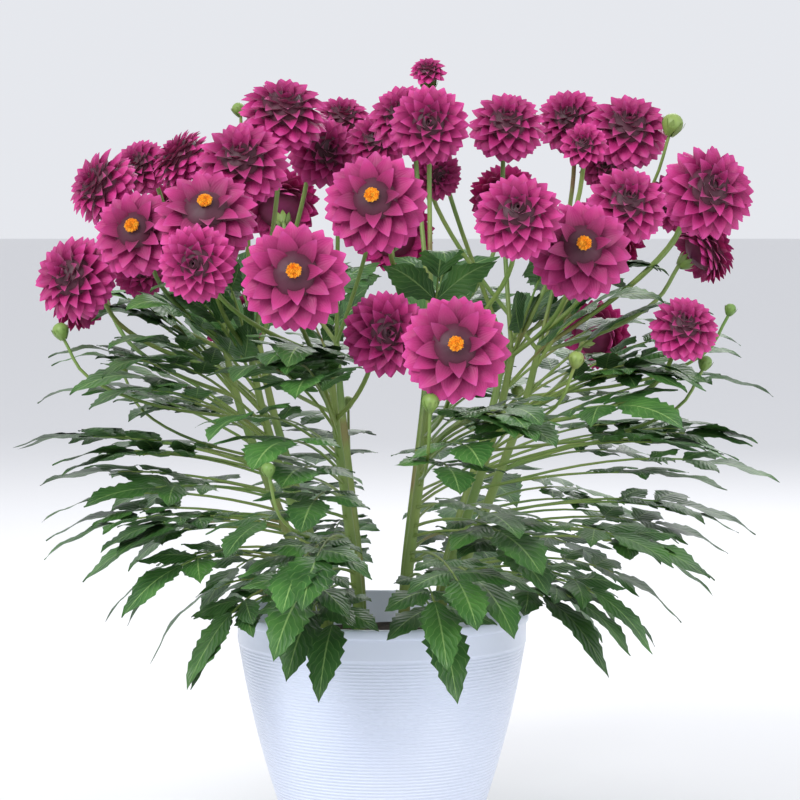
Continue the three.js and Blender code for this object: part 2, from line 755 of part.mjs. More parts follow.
function addPiece(name, geometry, material) {
  const mesh = new THREE.Mesh(geometry, material);
  mesh.name = name;
  plant.add(mesh);
}

const twoDigits = (n) => String(n).padStart(2, "0");

addPiece("pot", makePot(), potMaterial);
addPiece("soil", makeSoil(), soilMaterial);
for (let k = 0; k < SHOOTS; k++) {
  addPiece("shoot_" + twoDigits(k + 1), makeShoot(k), greenMaterial);
}
blooms.forEach((bloom, i) => {
  addPiece("bloom_" + twoDigits(i + 1), geometryOf(bloomSolids[i]), petalMaterial);
  if (bloom.kind === "open") addPiece("eye_" + twoDigits(i + 1), makeEyeDisc(bloom), eyeMaterial);
});

export default plant;
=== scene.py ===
"""Looks of a potted dahlia: fine petals, toothed veined leaves, a ribbed pot and soil.

Sizes are in millimetres until a mesh is made. Placement follows the same rules as the solids.
"""
import math
import bpy
import numpy as np
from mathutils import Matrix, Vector


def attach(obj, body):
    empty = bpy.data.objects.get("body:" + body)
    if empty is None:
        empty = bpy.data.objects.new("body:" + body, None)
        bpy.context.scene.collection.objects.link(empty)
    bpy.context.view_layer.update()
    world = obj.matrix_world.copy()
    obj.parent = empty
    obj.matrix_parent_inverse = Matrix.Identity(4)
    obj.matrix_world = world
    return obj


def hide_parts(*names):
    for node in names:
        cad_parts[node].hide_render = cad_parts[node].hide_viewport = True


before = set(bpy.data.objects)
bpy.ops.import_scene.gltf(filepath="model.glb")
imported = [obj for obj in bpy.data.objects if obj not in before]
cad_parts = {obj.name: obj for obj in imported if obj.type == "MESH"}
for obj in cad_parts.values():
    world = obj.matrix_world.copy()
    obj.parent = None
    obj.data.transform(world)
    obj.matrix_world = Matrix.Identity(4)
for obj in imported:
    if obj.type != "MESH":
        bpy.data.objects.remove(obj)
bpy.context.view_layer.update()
MM = 0.001
BODY = "root"

# The pot and soil, as in the solids
POT_HEIGHT = 225
POT_WAIST_Z = 184
POT_WAIST_RADIUS = 125.5
POT_TAPER = 0.17
POT_CURVE = 0.00062
POT_WALL = 3.2
POT_FLOOR = 4
BAND_FOOT_Z = 197
LIP_HEIGHT = 9
LIP_REACH = 2.5
SOIL_Z = 196
GAP = 0.35
FINE_RIB_PITCH = 3.0
FINE_RIB_DEPTH = 0.45
POT_SEGMENTS = 128

# Shoots
SHOOTS = 10
SECTOR = 2 * math.pi / SHOOTS
FIRST_SECTOR = -math.pi / 2
STEM_PATH = [
    (62, 150, 5.2), (62, 207, 5.2), (70, 255, 4.8), (98, 330, 4.2), (124, 400, 3.6), (140, 462, 2.8),
]
STALK_RADIUS = 2.0
STALK_ROOM = 3.5
CALYX_RADIUS = 6.5
CALYX_LENGTH = 9

# The eye that sees the plant from the front, and the middle of what it sees
EYE = np.array((15.0, -2600.0, 590.0))
VIEW_MIDDLE = (16, 0, 411.5)
LENS = 132.5

# Blooms: across and up as seen from the eye, depth, radius, turn and rise of the face, and kind
BLOOMS = [
    (41, 700, 15, 18, 0, 55, "young"), (42, 654, -125, 37, 0, 8, "full"),
    (18, 661, -40, 34, -25, 35, "full"), (110, 653, -60, 37, 5, 42, "full"),
    (-86, 664, -60, 43, 12, 58, "full"), (-35, 658, 45, 30, 10, 55, "full"),
    (-51, 630, 10, 36, 25, 15, "full"), (-123, 620, -110, 44, -5, 42, "full"),
    (-176, 624, -25, 33, -70, 45, "full"), (-212, 617, 50, 30, -30, 30, "full"),
    (-246, 600, -30, 38, -55, 25, "full"), (-216, 559, -125, 42, -10, 22, "open"),
    (-155, 574, -175, 48, 0, 40, "open"), (-163, 532, -245, 35, -8, 2, "full"),
    (-271, 519, -110, 41, -32, 18, "full"), (-77, 521, -265, 49, 0, 14, "open"),
    (-6, 586, -220, 47, -8, 18, "open"), (4, 470, -215, 39, 12, 5, "full"),
    (65, 457, -290, 48, 0, 14, "open"), (120, 574, -240, 40, -2, 26, "full"),
    (175, 544, -205, 47, 6, 18, "open"), (216, 584, -140, 38, 8, 32, "full"),
    (216, 649, -15, 41, 6, 45, "full"), (165, 658, 30, 34, -15, 35, "full"),
    (178, 636, -95, 22, -5, 25, "young"), (287, 595, -70, 46, 22, 20, "full"),
    (267, 475, -170, 32, 10, 38, "full"), (48, 610, -15, 26, 20, -15, "full"),
    (-212, 527, -50, 28, 20, -5, "full"), (-5, 639, -5, 30, -10, 30, "full"),
    (198, 619, 30, 28, -10, 0, "full"), (257, 586, 15, 30, -30, 5, "full"),
    (-185, 575, 170, 40, -150, 35, "full"), (-90, 585, 225, 42, -170, 35, "full"),
    (10, 560, 265, 44, 178, 25, "full"), (110, 590, 215, 40, 165, 40, "full"),
    (200, 560, 175, 42, 145, 30, "full"), (285, 545, 75, 36, 110, 30, "full"),
    (-265, 505, 85, 38, -115, 25, "full"), (55, 470, 300, 36, 175, 10, "full"),
    (-130, 480, 275, 36, -160, 12, "full"), (190, 470, 255, 38, 150, 12, "full"),
]
BLOOM_DEPTH = 0.74
BLOOM_ROOM = 0.93
BACK_SHARE = 0.8
EYE_DISC_RADIUS = 6.5

# Petals of each kind: how many, angles of the first and last from the face's axis, width, cup
PETALS = {
    "full": {"count": 96, "first": 4, "last": 128, "width": 0.24, "cup": 0.5},
    "open": {"count": 64, "first": 34, "last": 122, "width": 0.27, "cup": 0.3},
    "young": {"count": 44, "first": 4, "last": 96, "width": 0.26, "cup": 0.7},
}
GOLDEN_TURN = math.pi * (3 - math.sqrt(5))
PETAL_ROWS = 7
PETAL_COLUMNS = 5

# Buds: across, up, depth and radius
BUDS = [
    (-126, 668, 5, 6), (256, 655, -45, 9.5), (-284, 473, -130, 7), (172, 448, -235, 6.5),
    (43, 410, -300, 7), (-101, 350, -310, 5.5), (286, 445, -140, 6), (308, 492, -90, 5),
    (-230, 440, 190, 6.5), (120, 420, 300, 6.5), (-30, 410, 315, 6),
]

# Leaves
LEAVES_PER_SHOOT = 5
EXTRA_LEAVES = 11
CROWN_SHIFT = 13
TIP_HEIGHTS = (176, 560)
REACH = [(150, 205), (200, 245), (260, 310), (330, 332), (390, 338), (465, 305), (520, 250), (575, 160)]
LEAFLET_LENGTH = (72, 92)
LEAFLET_HALF_WIDTH = 0.27
RIB_HALF_WIDTH = 1.3
SIDE_LEAFLET = 0.74
SIDE_ANGLE = math.radians(52)
LEAF_FOLD = 0.2
LEAF_CLEARANCE = 3.5
SEED = 20
END_OUTLINE = [(0.1, 0.55), (0.3, 1.0), (0.37, 0.8), (0.56, 0.86), (0.62, 0.62), (0.8, 0.46), (0.84, 0.28)]
SIDE_OUTLINE = [(0.42, 0.31), (0.56, 0.17), (1.0, 0.0), (0.6, -0.18), (0.46, -0.3)]
END_SHAPE = [(0, 0.08), (0.1, 0.55), (0.3, 1.0), (0.56, 0.88), (0.8, 0.48), (1, 0)]
SIDE_SHAPE = [(0, 0.04), (0.15, 0.16), (0.42, 0.31), (0.6, 0.25), (0.8, 0.13), (1, 0)]
LEAFLET_TEETH = 7
TOOTH_DEPTH = 0.26


def mix(a, b, t):
    return a + (b - a) * t


def seeded(seed):
    state = seed

    def draw():
        nonlocal state
        state = (state * 1664525 + 1013904223) & 0xFFFFFFFF
        return state / 4294967296

    return draw


def along(points, x):
    """The value at x of a line through points (x, value)."""
    return float(np.interp(x, [p[0] for p in points], [p[1] for p in points]))


def unit(a):
    return a / np.linalg.norm(a)


def vec(x, y, z):
    return np.array((x, y, z), float)


UP = vec(0, 0, 1)


class Skin:
    """Vertices, faces, texture places and a shade for each vertex, gathered into one mesh."""

    def __init__(self):
        self.points, self.faces, self.places, self.shades, self.paints = [], [], [], [], []

    def grid(self, rows, shade, paint, closed=False):
        """Rows of points of equal length, as quads."""
        start, across = len(self.points), len(rows[0])
        for i, row in enumerate(rows):
            for j, p in enumerate(row):
                self.points.append(p)
                self.places.append((j / max(1, across - 1), i / max(1, len(rows) - 1)))
                self.shades.append(shade)
        for i in range(len(rows) - 1):
            for j in range(across if closed else across - 1):
                k = (j + 1) % across
                a, b = start + i * across, start + (i + 1) * across
                self.faces.append((a + j, a + k, b + k, b + j))
                self.paints.append(paint)

    def tube(self, points, radii, sides, shade, paint):
        rows = []
        reference = UP if abs(unit(points[-1] - points[0])[2]) < 0.8 else vec(1, 0, 0)
        for i, p in enumerate(points):
            tangent = unit(points[min(i + 1, len(points) - 1)] - points[max(i - 1, 0)])
            side = unit(np.cross(tangent, reference))
            other = np.cross(tangent, side)
            ring = [2 * math.pi * s / sides for s in range(sides)]
            rows.append([p + radii[i] * (side * math.cos(a) + other * math.sin(a)) for a in ring])
        self.grid(rows, shade, paint, closed=True)

    def piece(self, name, materials, slot, *nodes):
        mesh = bpy.data.meshes.new(name)
        mesh.from_pydata([tuple(p * MM) for p in self.points], [], self.faces)
        for material in materials:
            mesh.materials.append(material)
        mesh.polygons.foreach_set("material_index", self.paints)
        mesh.polygons.foreach_set("use_smooth", [True] * len(self.faces))
        corners = np.zeros(len(mesh.loops), dtype=np.int32)
        mesh.loops.foreach_get("vertex_index", corners)
        layer = mesh.uv_layers.new(name="place")
        layer.data.foreach_set("uv", np.array(self.places, dtype=np.float32)[corners].ravel())
        shade = mesh.color_attributes.new(name="shade", type="FLOAT_COLOR", domain="POINT")
        colours = [(s, s, s, 1.0) for s in self.shades]
        shade.data.foreach_set("color", np.array(colours, dtype=np.float32).ravel())
        mesh.update()
        made = bpy.data.objects.new(name, mesh)
        bpy.context.scene.collection.objects.link(made)
        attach(made, BODY)
        if nodes:
            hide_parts(*nodes)
        return made


# Layout, by the same rules as the solids
def stem_spot(k, radius, z):
    angle = FIRST_SECTOR + (k + 0.5) * SECTOR
    return vec(radius * math.cos(angle), radius * math.sin(angle), z)


def sector_of(point):
    turns = ((math.atan2(point[1], point[0]) - FIRST_SECTOR) / (2 * math.pi) + 1) % 1
    return min(SHOOTS - 1, int(turns * SHOOTS))


def into_sector(point, shoot, margin):
    for angle, sign in ((FIRST_SECTOR + shoot * SECTOR, 1), (FIRST_SECTOR + (shoot + 1) * SECTOR, -1)):
        away = sign * (point[1] * math.cos(angle) - point[0] * math.sin(angle))
        if away < margin:
            point[0] -= sign * (margin - away) * math.sin(angle)
            point[1] += sign * (margin - away) * math.cos(angle)


def seen(across, up, depth):
    share = (depth - EYE[1]) / -EYE[1]
    return vec(EYE[0] + (across - EYE[0]) * share, depth, EYE[2] + (up - EYE[2]) * share)


def place_blooms():
    blooms = []
    for across, up, depth, radius, turn, rise, kind in BLOOMS:
        a, e = math.radians(turn), math.radians(rise)
        axis = vec(math.sin(a) * math.cos(e), -math.cos(a) * math.cos(e), math.sin(e))
        blooms.append({"across": across, "up": up, "depth": depth, "radius": radius, "kind": kind,
                       "axis": axis, "centre": seen(across, up, depth)})
    for _ in range(80):
        for i, a in enumerate(blooms):
            for b in blooms[i + 1:]:
                apart = math.dist(a["centre"], b["centre"])
                short = BLOOM_ROOM * (a["radius"] + b["radius"]) - apart
                if short <= 0:
                    continue
                way = -1 if a["depth"] < b["depth"] else 1
                a["depth"] += way * short * 0.5
                b["depth"] -= way * short * 0.5
                a["centre"] = seen(a["across"], a["up"], a["depth"])
                b["centre"] = seen(b["across"], b["up"], b["depth"])
    return blooms


def quadratic(a, b, c, t):
    return a * (1 - t) ** 2 + b * (2 * t * (1 - t)) + c * t ** 2


def stem_radius_at(z):
    return along([(row[1], row[0]) for row in STEM_PATH[1:]], z)


def stalk_to(blooms, own, start, axis, first_length):
    foot = start - axis * first_length
    shoot = sector_of(foot)
    into_sector(foot, shoot, STALK_ROOM)
    join_z = min(455, max(250, foot[2] - 75))
    join = stem_spot(shoot, stem_radius_at(join_z), join_z)
    pull = foot - axis * 18
    pull[2] -= 42
    points = [quadratic(foot, pull, join, i / 3) for i in (1, 2, 3)]
    for _ in range(12):
        for p in points[:2]:
            for bloom in blooms:
                away = p - bloom["centre"]
                short = bloom["radius"] + 7 - np.linalg.norm(away)
                if bloom is not own and short > 0:
                    p += unit(away) * short
            into_sector(p, shoot, STALK_ROOM)
    samples = [start, foot, mix(foot, points[0], 0.5), *points]
    return {"shoot": shoot, "top": start, "foot": foot, "points": points, "samples": samples}


def leaf_towards(shoot, azimuth, tip_z, reach_share, end_length, roll, rise):
    reach = along(REACH, tip_z) * reach_share
    tip = vec(CROWN_SHIFT + reach * math.cos(azimuth), reach * math.sin(azimuth), tip_z)
    join_z = mix(240, 445, min(1, max(0, (tip_z - 170) / 370)))
    join = stem_spot(shoot, stem_radius_at(join_z), join_z)
    pull = mix(join, tip, 0.62)
    pull[2] = max(join[2], tip[2]) + rise
    outward = unit((tip - join) * (1, 1, 0))
    side = unit(vec(-outward[1], outward[0], 0) * math.cos(roll) + UP * math.sin(roll))
    spots = [quadratic(join, pull, tip, i / 8) for i in range(9)]
    length = sum(math.dist(a, b) for a, b in zip(spots, spots[1:]))
    return {"join": join, "pull": pull, "tip": tip, "side": side, "length": length, "end": end_length}


def leaf_point(leaf, distance, across, above):
    t = min(1.12, distance / leaf["length"])
    p = quadratic(leaf["join"], leaf["pull"], leaf["tip"], t)
    tangent = unit((leaf["pull"] - leaf["join"]) * (1 - t) + (leaf["tip"] - leaf["pull"]) * t)
    normal = unit(np.cross(tangent, leaf["side"]))
    lift = LEAF_FOLD * abs(across) - 0.004 * across * across
    return p + leaf["side"] * across + normal * (above + lift)


def side_spot(leaf, side, out, over, root_back=19, share=SIDE_LEAFLET):
    size = leaf["end"] * share
    root = leaf["length"] - leaf["end"] - root_back
    distance = root + size * (out * math.cos(SIDE_ANGLE) - over * math.sin(SIDE_ANGLE))
    across = side * (RIB_HALF_WIDTH + size * (out * math.sin(SIDE_ANGLE) + over * math.cos(SIDE_ANGLE)))
    return distance, across


def end_spot(leaf, side, out, over):
    root = leaf["length"] - leaf["end"]
    return root + out * leaf["end"], side * over * leaf["end"] * LEAFLET_HALF_WIDTH


def leaf_samples(leaf):
    spots = [(leaf["length"] * i / 10, 0) for i in range(3, 11)]
    for side in (-1, 1):
        for spot, outline in ((side_spot, SIDE_OUTLINE), (end_spot, END_OUTLINE)):
            for out, over in outline:
                d, a = spot(leaf, side, out, over)
                spots += [(d, a), (mix(leaf["length"] - leaf["end"], d, 0.6), a * 0.6)]
    return np.array([leaf_point(leaf, d, a, 0) for d, a in spots])


def leaf_is_clear(leaf, shoot, centres, radii, foreign):
    low, high = FIRST_SECTOR + shoot * SECTOR, FIRST_SECTOR + (shoot + 1) * SECTOR
    p = leaf_samples(leaf)
    if np.any(p[:, 1] * math.cos(low) - p[:, 0] * math.sin(low) < 1.2):
        return False
    if np.any(p[:, 0] * math.sin(high) - p[:, 1] * math.cos(high) < 1.2):
        return False
    flat = np.hypot(p[:, 0], p[:, 1])
    if np.any((p[:, 2] < POT_HEIGHT + 4) & (flat < POT_WAIST_RADIUS + 9)):
        return False
    apart = np.linalg.norm(p[:, None] - centres[None], axis=2)
    if np.any(apart < radii[None] + LEAF_CLEARANCE):
        return False
    apart = np.linalg.norm(p[:, None] - foreign[None], axis=2)
    return not np.any(apart <= CALYX_RADIUS + LEAF_CLEARANCE)


def place_leaves(shoot, seed, count, centres, radii, foreign):
    draw = seeded(seed)
    leaves = []
    for i in range(count):
        share = (i + 0.5) / count
        tip_z = mix(*TIP_HEIGHTS, share) + 30 * (draw() - 0.5)
        offset = 0.62 * ((0.618034 * i + 0.37 * shoot) % 1 - 0.5) * SECTOR
        end_length = mix(*LEAFLET_LENGTH, draw())
        reach_share = 0.94 + 0.08 * draw()
        roll = 0.5 * (draw() - 0.5)
        rise = mix(25, 45, draw())
        for attempt in range(40):
            azimuth = FIRST_SECTOR + (shoot + 0.5) * SECTOR + offset
            leaf = leaf_towards(shoot, azimuth, tip_z, reach_share, end_length, roll, rise)
            if leaf_is_clear(leaf, shoot, centres, radii, foreign):
                leaves.append(leaf)
                break
            if attempt % 2 == 0:
                offset *= 0.75
            else:
                tip_z = max(TIP_HEIGHTS[0], tip_z - 9)
            if attempt % 5 == 4:
                end_length *= 0.93
    return leaves


# Materials
def shader(name, roughness):
    material = bpy.data.materials.new(name)
    material.use_nodes = True
    nodes, links = material.node_tree.nodes, material.node_tree.links
    surface = nodes["Principled BSDF"]
    surface.inputs["Roughness"].default_value = roughness
    return material, nodes, links, surface


def ramp(nodes, links, source, stops):
    made = nodes.new("ShaderNodeValToRGB")
    elements = made.color_ramp.elements
    while len(elements) < len(stops):
        elements.new(0.5)
    for element, (place, colour) in zip(elements, stops):
        element.position = place
        element.color = (*colour, 1)
    links.new(source, made.inputs["Fac"])
    return made.outputs["Color"]


def maths(nodes, links, operation, first, second):
    made = nodes.new("ShaderNodeMath")
    made.operation = operation
    for socket, value in zip(made.inputs, (first, second)):
        if isinstance(value, (int, float)):
            socket.default_value = value
        else:
            links.new(value, socket)
    return made.outputs[0]


def noise(nodes, links, scale, detail=4):
    where = nodes.new("ShaderNodeTexCoord")
    made = nodes.new("ShaderNodeTexNoise")
    made.inputs["Scale"].default_value = scale
    made.inputs["Detail"].default_value = detail
    links.new(where.outputs["Object"], made.inputs["Vector"])
    return made.outputs["Fac"]


def bump(nodes, links, surface, height, strength, distance):
    made = nodes.new("ShaderNodeBump")
    made.inputs["Strength"].default_value = strength
    made.inputs["Distance"].default_value = distance
    links.new(height, made.inputs["Height"])
    links.new(made.outputs["Normal"], surface.inputs["Normal"])


def place_axes(nodes, links):
    """Where a vertex lies across and along its petal or leaflet."""
    layer = nodes.new("ShaderNodeUVMap")
    layer.uv_map = "place"
    split = nodes.new("ShaderNodeSeparateXYZ")
    links.new(layer.outputs["UV"], split.inputs[0])
    return split.outputs["X"], split.outputs["Y"]


def shade_of(nodes):
    made = nodes.new("ShaderNodeAttribute")
    made.attribute_name = "shade"
    return made.outputs["Fac"]


def scaled(nodes, links, colour, factor):
    made = nodes.new("ShaderNodeVectorMath")
    made.operation = "SCALE"
    links.new(colour, made.inputs[0])
    links.new(factor, made.inputs["Scale"])
    return made.outputs[0]


def petal_material():
    material, nodes, links, surface = shader("petal", 0.55)
    across, out = place_axes(nodes, links)
    mottled = maths(nodes, links, "MULTIPLY_ADD", noise(nodes, links, 90), 0.22)
    mottled.node.inputs[2].default_value = -0.11
    tone = maths(nodes, links, "ADD", out, mottled)
    # Colour along each petal, mottled. It is darker towards the root, partly the petal's own deeper base and
    # partly painted shade deep in the bloom. It is palest at the tip, which is a painted highlight.
    colour = ramp(nodes, links, tone, [
        (0.0, (0.10, 0.002, 0.03)), (0.35, (0.26, 0.004, 0.085)),
        (0.8, (0.50, 0.012, 0.185)), (1.0, (0.62, 0.05, 0.30)),
    ])
    links.new(scaled(nodes, links, colour, shade_of(nodes)), surface.inputs["Base Color"])
    lines = maths(nodes, links, "SINE", maths(nodes, links, "MULTIPLY", across, 44.0), 0.0)
    bump(nodes, links, surface, lines, 0.25, 0.0003)
    surface.inputs["Sheen Weight"].default_value = 0.15
    return material


def leaf_material():
    material, nodes, links, surface = shader("leaf", 0.42)
    across, out = place_axes(nodes, links)
    half = maths(nodes, links, "ABSOLUTE", maths(nodes, links, "SUBTRACT", across, 0.5), 0.0)
    slant = maths(nodes, links, "SUBTRACT", maths(nodes, links, "MULTIPLY", out, 9.0),
                  maths(nodes, links, "MULTIPLY", half, 5.0))
    saw = maths(nodes, links, "FRACT", slant, 0.0)
    near_vein = maths(nodes, links, "ABSOLUTE", maths(nodes, links, "SUBTRACT", saw, 0.5), 0.0)
    side_veins = maths(nodes, links, "LESS_THAN", near_vein, 0.045)
    midrib = maths(nodes, links, "LESS_THAN", half, 0.022)
    veins = maths(nodes, links, "MAXIMUM", maths(nodes, links, "MULTIPLY", side_veins, 0.45), midrib)
    green = ramp(nodes, links, noise(nodes, links, 28), [
        (0.3, (0.022, 0.075, 0.018)), (0.5, (0.04, 0.125, 0.026)), (0.7, (0.075, 0.2, 0.04)),
    ])
    blend = nodes.new("ShaderNodeMix")
    blend.data_type = "RGBA"
    links.new(veins, blend.inputs["Factor"])
    links.new(green, blend.inputs["A"])
    blend.inputs["B"].default_value = (0.19, 0.32, 0.10, 1)
    colour = scaled(nodes, links, blend.outputs["Result"], shade_of(nodes))
    links.new(colour, surface.inputs["Base Color"])
    bump(nodes, links, surface, near_vein, 0.6, 0.0012)
    return material


def stem_material():
    material, nodes, links, surface = shader("stem", 0.45)
    colour = ramp(nodes, links, noise(nodes, links, 14), [
        (0.35, (0.13, 0.24, 0.05)), (0.6, (0.22, 0.30, 0.07)), (0.75, (0.24, 0.12, 0.06)),
    ])
    links.new(scaled(nodes, links, colour, shade_of(nodes)), surface.inputs["Base Color"])
    bump(nodes, links, surface, noise(nodes, links, 700), 0.2, 0.0004)
    return material


def eye_material():
    material, nodes, links, surface = shader("eye", 0.6)
    colour = ramp(nodes, links, noise(nodes, links, 260), [
        (0.3, (0.75, 0.2, 0.01)), (0.5, (1.0, 0.42, 0.02)), (0.75, (1.0, 0.66, 0.08)),
    ])
    links.new(scaled(nodes, links, colour, shade_of(nodes)), surface.inputs["Base Color"])
    return material


def pot_material():
    material, nodes, links, surface = shader("pot", 0.32)
    colour = ramp(nodes, links, noise(nodes, links, 5), [
        (0.3, (0.62, 0.68, 0.83)), (0.7, (0.72, 0.77, 0.89)),
    ])
    links.new(colour, surface.inputs["Base Color"])
    bump(nodes, links, surface, noise(nodes, links, 500), 0.08, 0.0003)
    surface.inputs["Coat Weight"].default_value = 0.2
    return material


def soil_material():
    material, nodes, links, surface = shader("soil", 0.95)
    colour = ramp(nodes, links, noise(nodes, links, 160, 8), [
        (0.35, (0.012, 0.008, 0.005)), (0.6, (0.05, 0.032, 0.02)), (0.85, (0.13, 0.09, 0.055)),
    ])
    links.new(colour, surface.inputs["Base Color"])
    bump(nodes, links, surface, noise(nodes, links, 240, 8), 0.9, 0.003)
    return material


# Camera, lights and floor
def aim(thing, place, target):
    thing.location = Vector(place)
    thing.rotation_euler = (Vector(target) - Vector(place)).to_track_quat("-Z", "Y").to_euler()


def make_camera():
    camera = bpy.data.objects.new("camera", bpy.data.cameras.new("camera"))
    bpy.context.scene.collection.objects.link(camera)
    camera.data.lens = LENS
    camera.data.clip_end = 200
    aim(camera, EYE * MM, [c * MM for c in VIEW_MIDDLE])
    bpy.context.scene.camera = camera


def make_light(name, place, size, energy):
    light = bpy.data.lights.new(name, "AREA")
    light.size = size
    light.energy = energy
    made = bpy.data.objects.new(name, light)
    bpy.context.scene.collection.objects.link(made)
    aim(made, place, (0, 0, 0.4))


def make_studio():
    make_light("key", (-1.6, -2.4, 2.6), 1.6, 85)
    make_light("fill", (2.4, -1.6, 1.4), 2.0, 25)
    make_light("back", (0.6, 2.6, 2.4), 1.8, 40)
    world = bpy.data.worlds.new("studio")
    world.use_nodes = True
    world.node_tree.nodes["Background"].inputs["Color"].default_value = (0.93, 0.95, 1.0, 1)
    world.node_tree.nodes["Background"].inputs["Strength"].default_value = 0.85
    bpy.context.scene.world = world
    bpy.context.scene.view_settings.view_transform = "Standard"
    mesh = bpy.data.meshes.new("floor")
    half = 40
    mesh.from_pydata([(-half, -half, 0), (half, -half, 0), (half, half, 0), (-half, half, 0)], [],
                     [(0, 1, 2, 3)])
    floor = bpy.data.objects.new("floor", mesh)
    bpy.context.scene.collection.objects.link(floor)
    material, nodes, links, surface = shader("floor", 0.9)
    surface.inputs["Base Color"].default_value = (0.8, 0.8, 0.81, 1)
    mesh.materials.append(material)


# Pieces
def pot_radius(z):
    drop = POT_WAIST_Z - z
    return POT_WAIST_RADIUS - POT_TAPER * drop - POT_CURVE * drop * abs(drop)


def inside_radius(z):
    share = (z - POT_FLOOR) / (POT_HEIGHT - 1 - POT_FLOOR)
    return mix(pot_radius(POT_FLOOR) - POT_WALL, pot_radius(BAND_FOOT_Z) - POT_WALL, share)


def lathe(skin, profile, segments, paint, lift=None):
    rows = []
    for r, z in profile:
        ring = [2 * math.pi * s / segments for s in range(segments)]
        rows.append([vec(r * math.cos(a), r * math.sin(a), z + (lift(r, a) if lift else 0)) for a in ring])
    skin.grid(rows, 1.0, paint, closed=True)


def make_pot():
    profile = [(0.01, 0), (pot_radius(0) - 3, 0), (pot_radius(0) - 1, 1)]
    steps = int((BAND_FOOT_Z - 3) / FINE_RIB_PITCH * 4)
    for i in range(steps):
        z = 2 + i * FINE_RIB_PITCH / 4
        profile.append((pot_radius(z) - FINE_RIB_DEPTH * (1 - math.cos(math.pi * i / 2)), z))
    top, lip = pot_radius(BAND_FOOT_Z), POT_HEIGHT - LIP_HEIGHT
    profile += [(top - 1, BAND_FOOT_Z - 0.4), (top + 0.3, BAND_FOOT_Z + 0.6), (top + 0.5, BAND_FOOT_Z + 2)]
    profile += [(top + 0.5, lip - 0.5), (top + 0.8, lip), (top + LIP_REACH - 0.4, lip + 0.7)]
    profile += [(top + LIP_REACH, lip + 1.6), (top + LIP_REACH, POT_HEIGHT - 1.8)]
    profile += [(top + LIP_REACH - 0.6, POT_HEIGHT - 0.4), (top + 1, POT_HEIGHT)]
    profile += [(top - POT_WALL + 0.8, POT_HEIGHT - 0.2), (top - POT_WALL, POT_HEIGHT - 1.4)]
    profile += [(inside_radius(POT_FLOOR), POT_FLOOR), (0.01, POT_FLOOR)]
    skin = Skin()
    lathe(skin, profile, POT_SEGMENTS, 0)
    skin.piece("pot_ribbed", [pot_material()], "pot", "pot")


def make_soil():
    wall = inside_radius(SOIL_Z) - 2 * GAP
    draw = seeded(SEED)
    waves = [(draw() * 0.16 + 0.04, draw() * 6, draw() * 6, int(draw() * 9) + 2) for _ in range(14)]

    def crumbs(r, a):
        if r > wall - 1:
            return -1
        return sum(0.5 * math.sin(r * w + p) * math.cos(n * a + q) for w, p, q, n in waves)

    profile = [(0.01, POT_FLOOR + 1), (inside_radius(POT_FLOOR) - 2, POT_FLOOR + 1), (wall, SOIL_Z - 1)]
    profile += [(wall * (1 - i / 40), SOIL_Z + 5 * math.sin(math.pi * i / 80)) for i in range(1, 40)]
    profile.append((0.01, SOIL_Z + 5))
    skin = Skin()
    lathe(skin, profile, 96, 0, lambda r, a: crumbs(r, a) if r < wall - 1 else 0)
    skin.piece("soil_crumbed", [soil_material()], "soil", "soil")


def bloom_spot(bloom, sides, from_axis, round_axis, share):
    side, upward = sides
    flat = bloom["radius"] * share * math.sin(from_axis)
    deep = bloom["radius"] * share * BLOOM_DEPTH * math.cos(from_axis)
    p = bloom["centre"] + bloom["axis"] * deep
    return p + side * (flat * math.cos(round_axis)) + upward * (flat * math.sin(round_axis))


def petal_rows(bloom, sides, from_axis, turn, reach, width, cup, lean):
    """A petal as rows of points from its root to its pointed tip."""
    rows = []
    for i in range(PETAL_ROWS):
        v = i / (PETAL_ROWS - 1)
        share = mix(0.28, reach, v)
        angle = from_axis - 0.12 + lean * v * v
        half = width * bloom["radius"] * max(0.02, math.sin(math.pi * v ** 0.75)) ** 0.7
        middle = bloom_spot(bloom, sides, angle, turn, share)
        round_way = bloom_spot(bloom, sides, angle, turn + 0.01, share) - middle
        flat = math.sin(angle)
        if flat < 0.06:
            round_way = sides[1] * math.cos(turn) - sides[0] * math.sin(turn)
        round_way = unit(round_way)
        outward = unit(bloom_spot(bloom, sides, angle, turn, share + 0.05) - middle)
        faceward = unit(np.cross(round_way, outward))
        if np.dot(faceward, bloom["axis"]) < 0 and from_axis < 1.4:
            faceward = -faceward
        row = []
        for j in range(PETAL_COLUMNS):
            u = 2 * j / (PETAL_COLUMNS - 1) - 1
            lift = cup * half * u * u * (0.4 + 0.6 * v)
            row.append(middle + round_way * (half * u) + faceward * lift)
        rows.append(row)
    return rows


